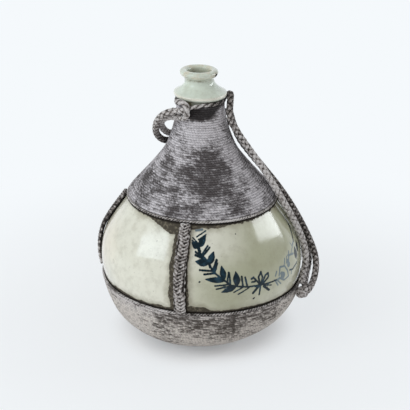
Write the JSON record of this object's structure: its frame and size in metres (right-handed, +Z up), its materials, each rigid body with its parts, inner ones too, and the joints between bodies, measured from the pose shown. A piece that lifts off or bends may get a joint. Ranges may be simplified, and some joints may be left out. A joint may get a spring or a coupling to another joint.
{
  "type": "ceramic wine flask",
  "caption": "Glazed round-bellied wine flask in a twined cord jacket, with plaited straps, a knotted neck tie and a carrying cord down one side.",
  "frame": {"origin": "centre of the footprint on the surface that the flask stands on, measured without the free carrying cord", "axes": "+Z up through the mouth, -Y towards the front with the plaited strap, +X towards the side with the carrying cord"},
  "size_m": [0.1939, 0.1806, 0.2347],
  "materials": {
    "celadon_glaze": "glossy pale green glaze on stoneware, with a dark blue painted wreath",
    "twined_cord": "close twined grey cord, stained darker in places",
    "plaited_cord": "plaited and twisted grey cord"
  },
  "bodies": {
    "root": {"ceramic_flask": "celadon_glaze", "upper_cover": "twined_cord", "lower_cover": "twined_cord", "upper_hem": "plaited_cord", "lower_hem": "plaited_cord", "front_strap": "plaited_cord", "right_strap": "plaited_cord", "back_strap": "plaited_cord", "left_strap": "plaited_cord", "neck_tie": "plaited_cord", "neck_knot": "plaited_cord", "hem_knot": "plaited_cord", "carry_cord_front": "plaited_cord", "carry_cord_outer": "plaited_cord", "carry_cord_inner": "plaited_cord"}
  },
  "joints": []
}
